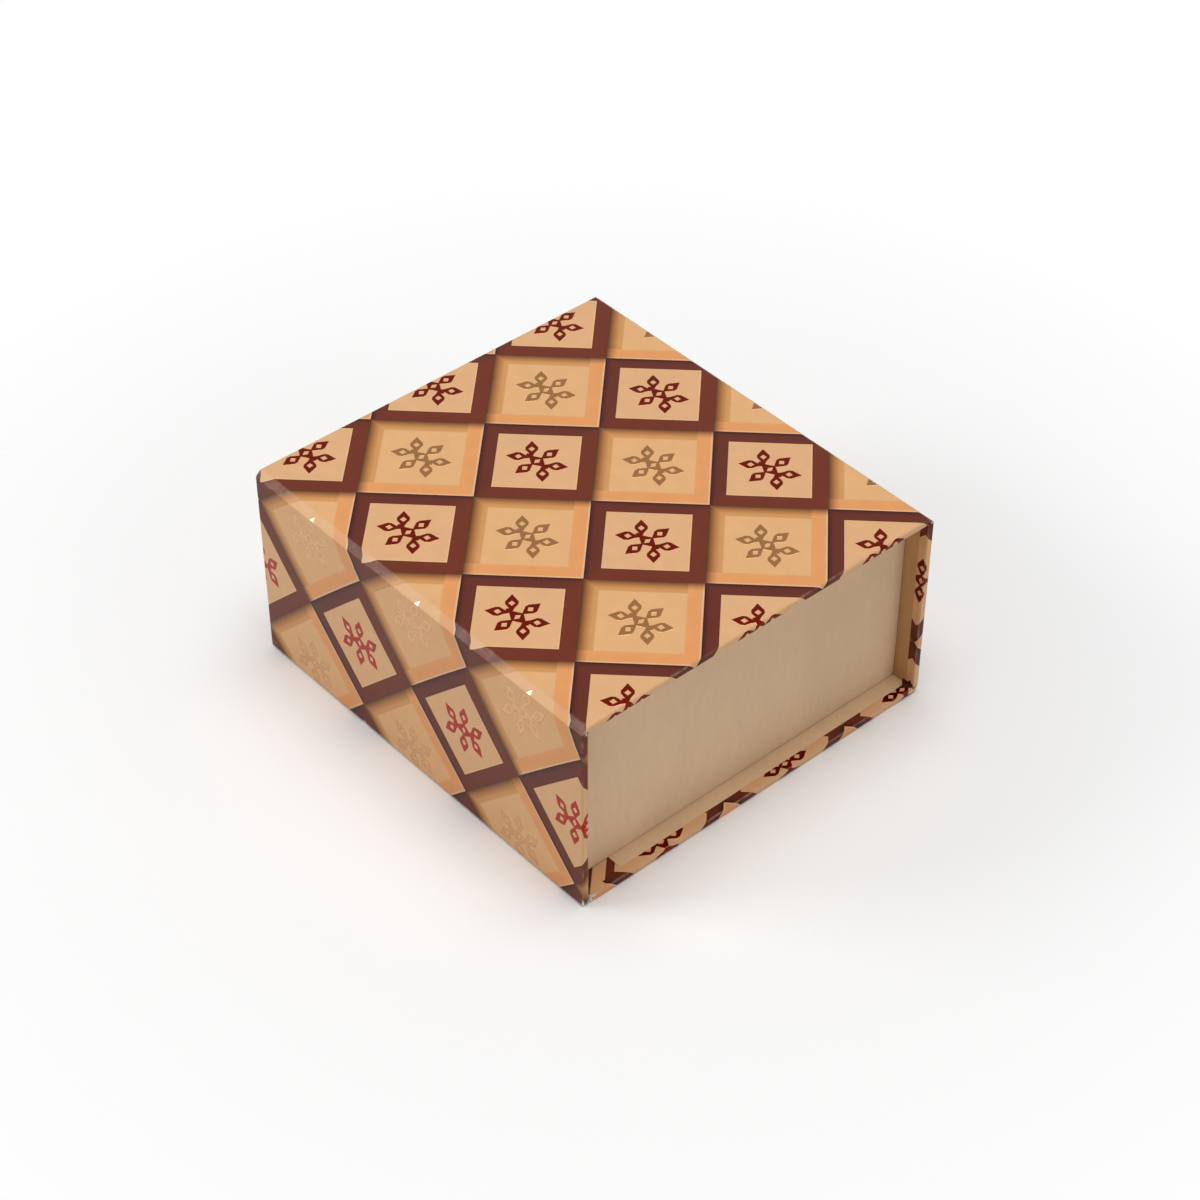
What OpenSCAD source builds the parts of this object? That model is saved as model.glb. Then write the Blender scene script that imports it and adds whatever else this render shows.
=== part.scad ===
// Book-style gift box with a magnetic flap. One sheet of printed paper wraps four greyboard
// panels in a row (base, spine, lid, flap) and is their hinge at each fold. A lined tray is
// glued to the base and the spine, and the flap hangs down over the tray's front.
// The box is drawn closed: +X to the right side, +Y to the spine, +Z up, with the origin in
// the middle of the footprint on the table.

/* [Case] */
// Width of the closed box, along its folds
case_w = 108; // [80:1:260]
// Depth of the closed box, from the flap's face to the spine's face
case_d = 100; // [70:1:240]
// Height of the closed box
case_h = 51; // [35:1:120]
// Thickness of the greyboard in the case panels
case_board_t = 1.5; // [1.2:0.1:3]
// Play between two neighbouring boards at a fold
fold_play = 0.1; // [0.1:0.1:1]
// Height of the flap's lower edge over the table
flap_lift = 0.3; // [0.1:0.1:1]
// Gap between the flap's inner face and the tray's front
flap_play = 0.3; // [0.2:0.1:1]

/* [Case papers] */
// Thickness of the printed wrap
wrap_t = 0.15; // [0.1:0.05:0.3]
// Thickness of the plain liner
liner_t = 0.15; // [0.1:0.05:0.3]
// Width of the turned-in wrap that shows beside each liner
turn_in = 2.3; // [1:0.1:5]
// Depth of the turned-in wrap at the front of the base
front_turn_in = 10.4; // [4:0.1:20]

/* [Tray] */
// How far the case reaches past the tray at each side
tray_recess = 6; // [2:0.5:15]
// Thickness of the greyboard in the tray
tray_board_t = 1.5; // [1.2:0.1:3]
// Thickness of the paper on the tray's outside
tray_wrap_t = 0.15; // [0.1:0.05:0.3]
// Thickness of the paper in the tray
lining_t = 0.15; // [0.1:0.05:0.3]
// How far the outside paper is turned down inside the rim
rim_turn_in = 3; // [1:0.5:12]

/* [Magnet catch] */
// Diameter of each disc magnet in the flap
magnet_d = 10; // [6:1:15]
// Thickness of each disc magnet
magnet_t = 1; // [0.5:0.1:1.1]
// Diameter of each steel plate in the tray's front
plate_d = 12; // [6:1:16]
// Thickness of each steel plate
plate_t = 0.8; // [0.4:0.1:1.1]
// Distance from the case's side to each magnet's centre
magnet_inset = 26; // [16:1:38]
// Distance from the lid's top to each magnet's centre
magnet_drop = 15; // [11:1:24]
// Play round a disc in its pocket
pocket_play = 0.1; // [0.05:0.05:0.3]

/* [Hidden] */
$fn = 48;

// How far a cutter runs past the face it cuts
overrun = 1;

// A turned-in wrap and a liner lie side by side on a board's inner face
lap_t = max(wrap_t, liner_t);
panel_t = wrap_t + case_board_t + lap_t;

// Each fold cuts the case's square corner off at this distance along both panels
fold_leg = panel_t + fold_play;

// The tray stands on the base, against the spine, and the lid lies on its rim
tray_w = case_w - 2 * tray_recess;
tray_front_y = -case_d / 2 + panel_t + flap_play;
tray_back_y = case_d / 2 - panel_t;
tray_bottom_z = panel_t;
tray_rim_z = case_h - panel_t;
board_top_z = tray_rim_z - tray_wrap_t;
wall_inset = tray_wrap_t + tray_board_t;

// Lengths of the four panels, from the fold that each one starts at
base_len = case_d / 2 - fold_leg - tray_front_y;
spine_len = case_h - 2 * fold_leg;
lid_len = case_d - 2 * fold_leg;
flap_len = case_h - fold_leg - flap_lift;

printed = [0.72, 0.50, 0.33];
ivory = [0.80, 0.70, 0.56];
greyboard = [0.55, 0.51, 0.46];
steel = [0.75, 0.76, 0.78];

// One case panel, flat on the bench with its printed face down.
// It starts at a fold at y = 0 and runs to y = len. end_turn is the depth of the wrap that
// is turned in over its far end, and is 0 where another fold follows.

// A block as wide as the panel less inset at each side, from y0 to y1 and from z0 to z1
module panel_block(inset, y0, y1, z0, z1) {
    width = case_w - 2 * inset;
    translate([-width / 2, y0, z0])
        cube([width, y1 - y0, z1 - z0]);
}

// The greyboard, with the wrap's thickness left free at its sides and its turned-in end
module panel_board(len, end_turn) {
    end_gap = end_turn > 0 ? wrap_t : 0;
    panel_block(wrap_t, 0, len - end_gap, wrap_t, wrap_t + case_board_t);
}

// The wrap: the printed face, the covered edges and the margins turned in over the board
module panel_wrap(len, end_turn) {
    board_end = end_turn > 0 ? len - wrap_t : len + overrun;
    window_end = end_turn > 0 ? len - end_turn : len + overrun;
    board_top = wrap_t + case_board_t;
    difference() {
        panel_block(0, 0, len, 0, board_top + wrap_t);
        panel_block(wrap_t, -overrun, board_end, wrap_t, board_top);
        panel_block(turn_in, -overrun, window_end, board_top - wrap_t, board_top + overrun);
    }
}

// The liner, pasted on the board between the turned-in margins
module panel_liner(len, end_turn) {
    board_top = wrap_t + case_board_t;
    panel_block(turn_in, 0, len - end_turn, board_top, board_top + liner_t);
}

// Round pockets or discs, one near each side, standing on z0
module disc_pair(diameter, height, z0) {
    for (side = [-1, 1])
        translate([side * (case_w / 2 - magnet_inset), magnet_drop - fold_leg, z0])
            cylinder(d = diameter, h = height);
}

// Where each panel stands in the closed box

module at_base() {
    translate([0, case_d / 2 - fold_leg, 0])
        rotate([0, 0, 180])
            children();
}

module at_spine() {
    translate([0, case_d / 2, fold_leg])
        rotate([90, 0, 0])
            children();
}

module at_lid() {
    translate([0, case_d / 2 - fold_leg, case_h])
        rotate([180, 0, 0])
            children();
}

module at_flap() {
    translate([0, -case_d / 2, case_h - fold_leg])
        rotate([-90, 0, 0])
            children();
}

// One fold, with the square corner that it cuts off at the origin.
// The two panels leave the corner along +Y and +Z. Paper bridges them as a bevel, from
// depth d0 to depth d1 below their outer faces.

module fold_strip(d0, d1) {
    rotate([90, 0, 90])
        linear_extrude(case_w, center = true)
            polygon([[fold_leg, d0], [d0, fold_leg], [d1, fold_leg], [fold_leg, d1]]);
}

// The wrap's own turned-in ends, tucked flat between the two boards at each side
module fold_tucks() {
    for (side = [-1, 1])
        translate([side * (case_w - wrap_t) / 2, 0, 0])
            rotate([90, 0, 90])
                linear_extrude(wrap_t, center = true)
                    polygon([[fold_leg, 0], [0, fold_leg], [panel_t, fold_leg], [fold_leg, panel_t]]);
}

module fold_wrap() {
    fold_strip(0, wrap_t);
    fold_tucks();
}

// The liner between the tucked ends
module fold_liner() {
    intersection() {
        fold_strip(wrap_t, wrap_t + liner_t);
        translate([-case_w / 2 + wrap_t, 0, 0])
            cube([case_w - 2 * wrap_t, fold_leg, fold_leg]);
    }
}

module at_base_fold() {
    translate([0, case_d / 2, 0])
        mirror([0, 1, 0])
            children();
}

module at_back_fold() {
    translate([0, case_d / 2, case_h])
        rotate([180, 0, 0])
            children();
}

module at_front_fold() {
    translate([0, -case_d / 2, case_h])
        mirror([0, 0, 1])
            children();
}

// Base and spine

module base_board() {
    color(greyboard) at_base() panel_board(base_len, front_turn_in);
}

module base_wrap() {
    color(printed) at_base() panel_wrap(base_len, front_turn_in);
}

module base_liner() {
    color(ivory) at_base() panel_liner(base_len, front_turn_in);
}

module base_fold() {
    color(printed) at_base_fold() fold_wrap();
}

module base_fold_liner() {
    color(ivory) at_base_fold() fold_liner();
}

module spine_board() {
    color(greyboard) at_spine() panel_board(spine_len, 0);
}

module spine_wrap() {
    color(printed) at_spine() panel_wrap(spine_len, 0);
}

module spine_liner() {
    color(ivory) at_spine() panel_liner(spine_len, 0);
}

// Lid and flap

module back_fold() {
    color(printed) at_back_fold() fold_wrap();
}

module back_fold_liner() {
    color(ivory) at_back_fold() fold_liner();
}

module lid_board() {
    color(greyboard) at_lid() panel_board(lid_len, 0);
}

module lid_wrap() {
    color(printed) at_lid() panel_wrap(lid_len, 0);
}

module lid_liner() {
    color(ivory) at_lid() panel_liner(lid_len, 0);
}

module front_fold() {
    color(printed) at_front_fold() fold_wrap();
}

module front_fold_liner() {
    color(ivory) at_front_fold() fold_liner();
}

// The flap's board has a blind pocket for each magnet, open to its inner face
module flap_board() {
    pocket_z = wrap_t + case_board_t - magnet_t;
    color(greyboard) at_flap() difference() {
        panel_board(flap_len, turn_in);
        disc_pair(magnet_d + 2 * pocket_play, magnet_t + overrun, pocket_z);
    }
}

module flap_wrap() {
    color(printed) at_flap() panel_wrap(flap_len, turn_in);
}

module flap_liner() {
    color(ivory) at_flap() panel_liner(flap_len, turn_in);
}

module flap_magnets() {
    pocket_z = wrap_t + case_board_t - magnet_t;
    color(steel) at_flap() disc_pair(magnet_d, magnet_t, pocket_z);
}

// Tray

// A block inside the tray's outer faces by inset all round, from z0 to z1
module tray_block(inset, z0, z1) {
    width = tray_w - 2 * inset;
    translate([-width / 2, tray_front_y + inset, z0])
        cube([width, tray_back_y - tray_front_y - 2 * inset, z1 - z0]);
}

module tray_bottom() {
    color(greyboard) tray_block(wall_inset, tray_bottom_z, tray_bottom_z + tray_board_t);
}

// The front and back walls run the tray's full width
module long_wall(y0) {
    width = tray_w - 2 * tray_wrap_t;
    translate([-width / 2, y0, tray_bottom_z])
        cube([width, tray_board_t, board_top_z - tray_bottom_z]);
}

// The side walls stand between the long walls
module side_wall(x0) {
    translate([x0, tray_front_y + wall_inset, tray_bottom_z])
        cube([tray_board_t, tray_back_y - tray_front_y - 2 * wall_inset, board_top_z - tray_bottom_z]);
}

// Puts a pair of discs, drawn as on the flap, behind the paper of the tray's front
module at_tray_front() {
    translate([0, tray_front_y + tray_wrap_t, case_h - fold_leg])
        rotate([-90, 0, 0])
            children();
}

// The front wall has a blind pocket for each steel plate, open to its outer face
module tray_front() {
    color(greyboard) difference() {
        long_wall(tray_front_y + tray_wrap_t);
        at_tray_front() disc_pair(plate_d + 2 * pocket_play, plate_t + overrun, -overrun);
    }
}

module tray_back() {
    color(greyboard) long_wall(tray_back_y - wall_inset);
}

module tray_left() {
    color(greyboard) side_wall(-tray_w / 2 + tray_wrap_t);
}

module tray_right() {
    color(greyboard) side_wall(tray_w / 2 - wall_inset);
}

// The outside paper goes up each wall, over the rim and a little way down inside
module tray_wrap() {
    turn_bottom_z = tray_rim_z - rim_turn_in;
    color(ivory) difference() {
        tray_block(0, tray_bottom_z, tray_rim_z);
        difference() {
            tray_block(tray_wrap_t, tray_bottom_z - overrun, board_top_z);
            tray_block(wall_inset, turn_bottom_z, tray_rim_z);
        }
        tray_block(wall_inset + tray_wrap_t, tray_bottom_z - overrun, tray_rim_z + overrun);
    }
}

// The lining covers the floor and the walls up to the turned-down paper
module tray_lining() {
    floor_z = tray_bottom_z + tray_board_t;
    color(ivory) difference() {
        tray_block(wall_inset, floor_z, tray_rim_z - rim_turn_in);
        tray_block(wall_inset + lining_t, floor_z + lining_t, tray_rim_z);
    }
}

module catch_plates() {
    color(steel) at_tray_front() disc_pair(plate_d, plate_t, 0);
}

base_board();
base_wrap();
base_liner();
base_fold();
base_fold_liner();
spine_board();
spine_wrap();
spine_liner();
back_fold();
back_fold_liner();
lid_board();
lid_wrap();
lid_liner();
front_fold();
front_fold_liner();
flap_board();
flap_wrap();
flap_liner();
flap_magnets();
tray_bottom();
tray_front();
tray_back();
tray_left();
tray_right();
tray_wrap();
tray_lining();
catch_plates();
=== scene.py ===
"""Looks of a book-style gift box with a magnetic flap.

One sheet of chequered paper with foil snowflakes wraps the base, spine, lid and flap and
bends at the folds between them. Each wrap is modelled flat on the bench, with its printed
face down and its fold at y = 0, gets the place of every point on the unfolded sheet as its
UV map, and is then set on its panel. The folds and liners are made on the bench too, and
the tucks and the tray's papers where they belong.
"""

import math
from collections import namedtuple

import bmesh
import bpy
from mathutils import Matrix, Vector


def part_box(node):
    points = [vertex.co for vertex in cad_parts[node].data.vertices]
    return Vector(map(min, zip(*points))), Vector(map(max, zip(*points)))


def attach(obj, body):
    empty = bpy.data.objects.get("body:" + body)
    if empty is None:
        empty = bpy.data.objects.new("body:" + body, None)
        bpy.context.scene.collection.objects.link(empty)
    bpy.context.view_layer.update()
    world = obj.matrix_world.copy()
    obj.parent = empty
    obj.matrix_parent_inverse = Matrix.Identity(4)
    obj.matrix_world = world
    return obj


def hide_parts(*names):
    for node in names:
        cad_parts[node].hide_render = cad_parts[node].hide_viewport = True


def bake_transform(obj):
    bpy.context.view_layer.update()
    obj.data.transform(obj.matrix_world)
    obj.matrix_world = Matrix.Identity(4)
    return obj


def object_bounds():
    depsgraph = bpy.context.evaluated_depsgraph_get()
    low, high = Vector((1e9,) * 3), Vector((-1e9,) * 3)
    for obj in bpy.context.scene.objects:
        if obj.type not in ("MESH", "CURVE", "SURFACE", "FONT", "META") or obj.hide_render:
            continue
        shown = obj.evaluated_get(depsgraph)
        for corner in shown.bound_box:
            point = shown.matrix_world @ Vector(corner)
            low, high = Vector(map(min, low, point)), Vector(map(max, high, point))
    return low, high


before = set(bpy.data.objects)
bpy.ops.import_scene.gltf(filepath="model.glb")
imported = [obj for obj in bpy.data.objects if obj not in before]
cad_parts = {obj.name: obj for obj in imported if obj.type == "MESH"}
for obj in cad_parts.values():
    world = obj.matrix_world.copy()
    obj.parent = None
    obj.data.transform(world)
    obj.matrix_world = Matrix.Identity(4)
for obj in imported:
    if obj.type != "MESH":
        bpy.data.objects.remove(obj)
cad_low, cad_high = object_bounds()
bpy.ops.object.select_all(action="DESELECT")

mm = 0.001
NEAR = 0.01 * mm                     # places this close together count as the same place


# Sizes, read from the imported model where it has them

lid_low, lid_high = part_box("lid_wrap")
flap_low, flap_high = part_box("flap_wrap")
spine_low, spine_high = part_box("spine_wrap")
base_low, base_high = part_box("base_wrap")

half_width = lid_high.x
panel_t = lid_high.z - lid_low.z
fold_leg = cad_high.y - lid_high.y
lid_len = lid_high.y - lid_low.y
flap_len = flap_high.z - flap_low.z
spine_len = spine_high.z - spine_low.z
base_len = base_high.y - base_low.y

# The wrap

PAPER_T = 0.12 * mm
EDGE_ROUND = 0.48 * mm
TURN_IN = 12 * mm                    # the margins reach this far in, mostly under the liner
POINT_REACH = 0.42                   # the covered sides run on by this share of a fold's leg
POINT_INSET = 0.3 * mm
EAR_WIDTH = 7 * mm                   # the ends of the base's front margin are pulled further in
EAR_SLIP = 4 * mm
WORN_CORNER = 3.2 * mm
CROWN_WIDTH = 2.4 * mm               # a fold's crown is pressed into a flat of this width
wrap_depth = panel_t - 0.05 * mm     # the margins lie just under the liner

# The liners

LINER_T = 0.1 * mm
LINER_SINK = 0.06 * mm               # it lies this much lower where no margin is under it
LINER_RAMP = 0.7 * mm
LINER_LAP = 0.05 * mm                # it passes the board's end by this much at a fold
LINER_DROP = 1.5 * mm                # and turns down over that end by this much
LINER_BEND = 0.15 * mm
LINER_SHORT = 0.2 * mm               # a turned-down end stops this far from the panel's side
PLEAT_T = 0.08 * mm
PLEAT_GAP = 0.06 * mm
PLEAT_SHORT = 0.5 * mm
liner_top = panel_t + 0.04 * mm

# The tucks. Their inner ends and points are measured from the middle of the box.

TUCK_INNER = 50.8 * mm
TUCK_POINT = 52.5 * mm
TUCK_SHORT = 0.1 * mm
TUCK_LENGTH = 1.8 * mm
TUCK_RISE = 0.7 * mm
TUCK_OFF_SPINE = 0.14 * mm
# The tucks take the print's dark frame, which also stands in as painted shade in the crease where the
# base meets the spine.
TUCK_PRINT_AS_SHADE = -0.43                   # in repeats from a dark tile's middle: inside its frame

# The tray's papers: cover and inner

TRAY_WALL = 1.8 * mm
RIM_TURN_IN = 3 * mm
RIM_ROUND = 0.42 * mm
INNER_T = 0.18 * mm
INNER_ROUND = 0.6 * mm
INNER_OFF_WALL = 0.2 * mm
INNER_OFF_FLOOR = 0.15 * mm

# The printed sheet. Its length runs from the flap over the lid and down the spine to the
# base, and is 0 at the lid's front edge. A repeat is one dark and one light tile.

REPEAT_X = 35.8 * mm
REPEAT_Y = 36.1 * mm
DARK_TILE_X = 19.64 * mm             # middle of a dark tile on the lid, from the sheet's middle
DARK_TILE_Y = 46.4 * mm
SKEW = -0.007                        # the print runs slightly off square on the lid

# The sheet was pulled askew over the folds. Down the flap it slips by up to this much, most of
# it within one run after the start, and turns a little. Behind the lid it slips and skews.

FLAP_SLIP_X = -4.2 * mm
FLAP_SLIP_Y = 2.4 * mm
FLAP_TURN = 0.012
SLIP_START = -1.5 * mm
SLIP_RUN = 11.5 * mm
BACK_SLIP = 1.16 * mm
BACK_SKEW = 0.019

front_fold_path = fold_leg * math.pi / 2
back_fold_path = 6.4 * mm            # the groove at the back takes up some of the sheet
base_fold_path = 2.8 * mm
spine_top = lid_len + back_fold_path
spine_foot = spine_top + spine_len
base_start = spine_foot + base_fold_path

# A panel lies on the bench with its fold at y = 0. The origin and turn set it in the closed
# box. The sheet's length is start at its fold and runs up or down from there, as way says.
# At a free end the margin lies over the side margins as far as a mitre of the given slope,
# which begins an ear's length from the corner. The liner steps down liner_step from the sides.
# The base is set down turned round, so on the bench its print is mirrored.

Panel = namedtuple("Panel", "name body length free_end origin turn start way"
                            " mirrored ear mitre liner_step", defaults=(False, 0, 0, TURN_IN))

LID = Panel("lid", "lid", lid_len, free_end=False, origin=(0, lid_high.y, cad_high.z),
            turn=(math.pi, 0, 0), start=lid_len, way=-1)
FLAP = Panel("flap", "flap", flap_len, free_end=True, origin=(0, cad_low.y, flap_high.z),
             turn=(-math.pi / 2, 0, 0), start=-front_fold_path, way=-1, mitre=1)
SPINE = Panel("spine", "base", spine_len, free_end=False, origin=(0, cad_high.y, spine_low.z),
              turn=(math.pi / 2, 0, 0), start=spine_foot, way=-1)
BASE = Panel("base", "base", base_len, free_end=True, origin=(0, base_high.y, 0),
             turn=(0, 0, math.pi), start=base_start, way=1, mirrored=True,
             ear=3.8 * mm, mitre=1.05, liner_step=12.6 * mm)

# A fold goes on from the y = 0 end of its panel, up round the axis of its bend, and ends at
# last_length on the sheet. Between two bodies it has a start and an end edge, not used.

Fold = namedtuple("Fold", "name panel last_length bodies start end", defaults=(None, None))

spine_edge = Vector((0, cad_high.y, spine_high.z))
lid_back_edge = Vector((0, lid_high.y, cad_high.z))
lid_front_edge = Vector((0, lid_low.y, cad_high.z))
flap_edge = Vector((0, cad_low.y, flap_high.z))

BACK_FOLD = Fold("back_fold", LID, spine_top, ("base", "lid"), spine_edge, lid_back_edge)
FRONT_FOLD = Fold("front_fold", FLAP, 0, ("lid", "flap"), lid_front_edge, flap_edge)
BASE_FOLD = Fold("base_fold", BASE, spine_foot, ("base",))


# Bench tools

def add_block(name, low, high):
    """A box from its lowest to its highest corner, the only selected and active object."""
    low, high = Vector(low), Vector(high)
    bpy.ops.object.select_all(action="DESELECT")
    bpy.ops.mesh.primitive_cube_add(size=1, location=(low + high) / 2, scale=high - low)
    block = bpy.context.object
    block.name = block.data.name = name
    bpy.ops.object.transform_apply(location=True, rotation=True, scale=True)
    return block


def add_sheet(name, low, high, z):
    """A flat sheet at height z, the only selected and active object."""
    middle = ((low[0] + high[0]) / 2, (low[1] + high[1]) / 2, z)
    bpy.ops.object.select_all(action="DESELECT")
    bpy.ops.mesh.primitive_plane_add(size=1, location=middle)
    sheet = bpy.context.object
    sheet.name = sheet.data.name = name
    sheet.scale = (high[0] - low[0], high[1] - low[1], 1)
    bpy.ops.object.transform_apply(location=True, rotation=True, scale=True)
    return sheet


def edit():
    bpy.ops.object.mode_set(mode="EDIT")


def done():
    bpy.ops.object.mode_set(mode="OBJECT")


def start_picking(kind):
    """In edit mode, selects nothing and gives the mesh to pick points, edges or faces from."""
    bpy.ops.mesh.select_mode(type=kind)
    bpy.ops.mesh.select_all(action="DESELECT")
    return bmesh.from_edit_mesh(bpy.context.object.data)


def pick_faces(test):
    """In edit mode, selects only the faces whose middle and normal pass the test."""
    mesh = start_picking("FACE")
    for face in mesh.faces:
        if test(face.calc_center_median(), face.normal):
            face.select_set(True)
    bmesh.update_edit_mesh(bpy.context.object.data)


def pick_edges(test):
    """In edit mode, selects only the edges whose middle and direction pass the test."""
    mesh = start_picking("EDGE")
    for edge in mesh.edges:
        a, b = edge.verts[0].co, edge.verts[1].co
        along = (b - a).normalized()
        if test((a + b) / 2, Vector(abs(n) for n in along)):
            edge.select_set(True)
    bmesh.update_edit_mesh(bpy.context.object.data)


def pick_points(test):
    """In edit mode, selects only the points whose place passes the test."""
    mesh = start_picking("VERT")
    for point in mesh.verts:
        if test(point.co):
            point.select_set(True)
    bmesh.update_edit_mesh(bpy.context.object.data)


def cut(point, normal):
    """In edit mode, cuts the whole mesh along a plane."""
    bpy.ops.mesh.select_all(action="SELECT")
    bpy.ops.mesh.bisect(plane_co=point, plane_no=normal)


def pull(x, y, z):
    """In edit mode, extrudes what is picked by this much."""
    bpy.ops.mesh.extrude_region_move(TRANSFORM_OT_translate={"value": (x, y, z)})


def flip_faces():
    """In edit mode, turns every face over."""
    bpy.ops.mesh.select_all(action="SELECT")
    bpy.ops.mesh.flip_normals()


def make_faces_agree():
    edit()
    bpy.ops.mesh.select_all(action="SELECT")
    bpy.ops.mesh.normals_make_consistent(inside=False)
    done()


def turn_show_side(sheet, guide, up):
    """Turns a sheet's faces so that the one with the lowest guide value looks up, or else down."""
    make_faces_agree()
    guide_face = min(sheet.data.polygons, key=guide)
    if (guide_face.normal.z > 0) != up:
        edit()
        flip_faces()
        done()


def thicken(piece, thickness, rim_slot=0):
    """Gives a sheet its thickness behind its face. The rim can take the next material slot."""
    wall = piece.modifiers.new("thickness", "SOLIDIFY")
    wall.thickness = thickness
    wall.offset = -1
    wall.material_offset_rim = rim_slot
    bpy.ops.object.modifier_apply(modifier=wall.name)


def smooth(piece, flat_faces=True):
    """Smooths all bends of less than 40 degrees, and can keep the wide faces flat."""
    bpy.ops.object.shade_smooth_by_angle(angle=math.radians(40))
    if flat_faces:
        normals = piece.modifiers.new("flat_faces", "WEIGHTED_NORMAL")
        normals.keep_sharp = True
        bpy.ops.object.modifier_apply(modifier=normals.name)


def set_down(piece, origin, turn):
    """Moves a finished piece from the bench to its place, and leaves that place in its mesh."""
    piece.location = origin
    piece.rotation_euler = turn
    bpy.ops.object.transform_apply(location=True, rotation=True)


def give_materials(piece, *materials):
    piece.data.materials.clear()
    for material in materials:
        piece.data.materials.append(material)


# The unfolded sheet

def tile_place(across, length):
    """Where a point of the sheet lies in the print, in repeats: dark tiles sit at whole numbers."""
    slip = 1 - math.exp(min(0, length - SLIP_START) / SLIP_RUN)
    behind = max(0, length - lid_len)
    x = across * (1 + FLAP_TURN * slip) - SKEW * (length - DARK_TILE_Y) - slip * FLAP_SLIP_X
    x -= min(1, behind / back_fold_path) * BACK_SLIP + behind * BACK_SKEW
    y = length + slip * (FLAP_SLIP_Y + FLAP_TURN * across)
    return (x - DARK_TILE_X) / REPEAT_X, (y - DARK_TILE_Y) / REPEAT_Y


def sheet_map(piece):
    """The piece's UV map, under the name that the print reads."""
    sheet = piece.data.uv_layers[0] if piece.data.uv_layers else piece.data.uv_layers.new()
    sheet.name = "sheet"
    return sheet


def unroll_panel(piece, panel):
    """Writes the UV map of a cover that lies on the bench."""
    sheet = sheet_map(piece)
    for face in piece.data.polygons:
        normal, middle = face.normal, face.center
        from_end, from_side = panel.length - middle.y, half_width - abs(middle.x)
        end_edge = normal.y > max(0.2, abs(normal.x))
        in_margin = middle.z > panel_t / 2 and abs(normal.z) > 0.5
        beyond_mitre = from_end - panel.ear < panel.mitre * from_side
        at_end = panel.free_end and (end_edge or in_margin and beyond_mitre)
        in_ear = at_end and panel.ear and normal.z > 0.5 and from_side < EAR_WIDTH
        for corner in face.loop_indices:
            x, y, z = piece.data.vertices[piece.data.loops[corner].vertex_index].co
            turned = 1 if z > wrap_depth / 2 else -1
            if at_end:
                y = panel.length + z + turned * (panel.length - y) + (EAR_SLIP if in_ear else 0)
            else:
                x = math.copysign(half_width + z + turned * (half_width - abs(x)), x)
            across = -x if panel.mirrored else x
            sheet.data[corner].uv = tile_place(across, panel.start + panel.way * y)


def unroll_fold(piece, fold):
    """Writes the UV map of a fold's cover on the bench: the sheet runs on round the bend."""
    panel = fold.panel
    sheet = sheet_map(piece)
    for loop in piece.data.loops:
        x, y, z = piece.data.vertices[loop.vertex_index].co
        share = math.atan2(-y, fold_leg - z) / (math.pi / 2)
        depth = fold_leg - math.hypot(y, fold_leg - z)
        length = panel.start + share * (fold.last_length - panel.start)
        across = math.copysign(abs(x) + depth, -x if panel.mirrored else x)
        sheet.data[loop.index].uv = tile_place(across, length)


def mark_panel_wear(piece, panel):
    """Stores how far each point lies on a rounded edge, where the print has rubbed: 0 to 1, and
    up to 2 at a free corner."""
    wear = piece.data.attributes.new("edge_wear", "FLOAT", "POINT")
    for vertex, mark in zip(piece.data.vertices, wear.data):
        x, y, z = vertex.co
        over_x = max(0, abs(x) - half_width + EDGE_ROUND)
        over_y = max(0, y - panel.length + EDGE_ROUND) if panel.free_end else 0
        over_z = max(0, abs(z - wrap_depth / 2) - wrap_depth / 2 + EDGE_ROUND)
        most = max(over_x * over_z, over_y * over_z, over_x * over_y)
        mark.value = min(1, 2 * most / EDGE_ROUND ** 2)
        if panel.free_end:
            from_corner = max(half_width - abs(x), panel.length - y)
            mark.value += max(0, 1 - from_corner / WORN_CORNER)


def mark_fold_wear(piece):
    """The same for a fold's cover, which is rubbed only at its two ends."""
    wear = piece.data.attributes.new("edge_wear", "FLOAT", "POINT")
    for vertex, mark in zip(piece.data.vertices, wear.data):
        mark.value = max(0, min(1, (abs(vertex.co.x) - half_width) / EDGE_ROUND + 1.5))


# Shader nodes

def screen(red, green, blue):
    """A colour as it shows on screen, 0 to 255, in Blender's linear light."""
    def linear(level):
        level /= 255
        return level / 12.92 if level <= 0.04045 else ((level + 0.055) / 1.055) ** 2.4
    return linear(red), linear(green), linear(blue), 1


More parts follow.
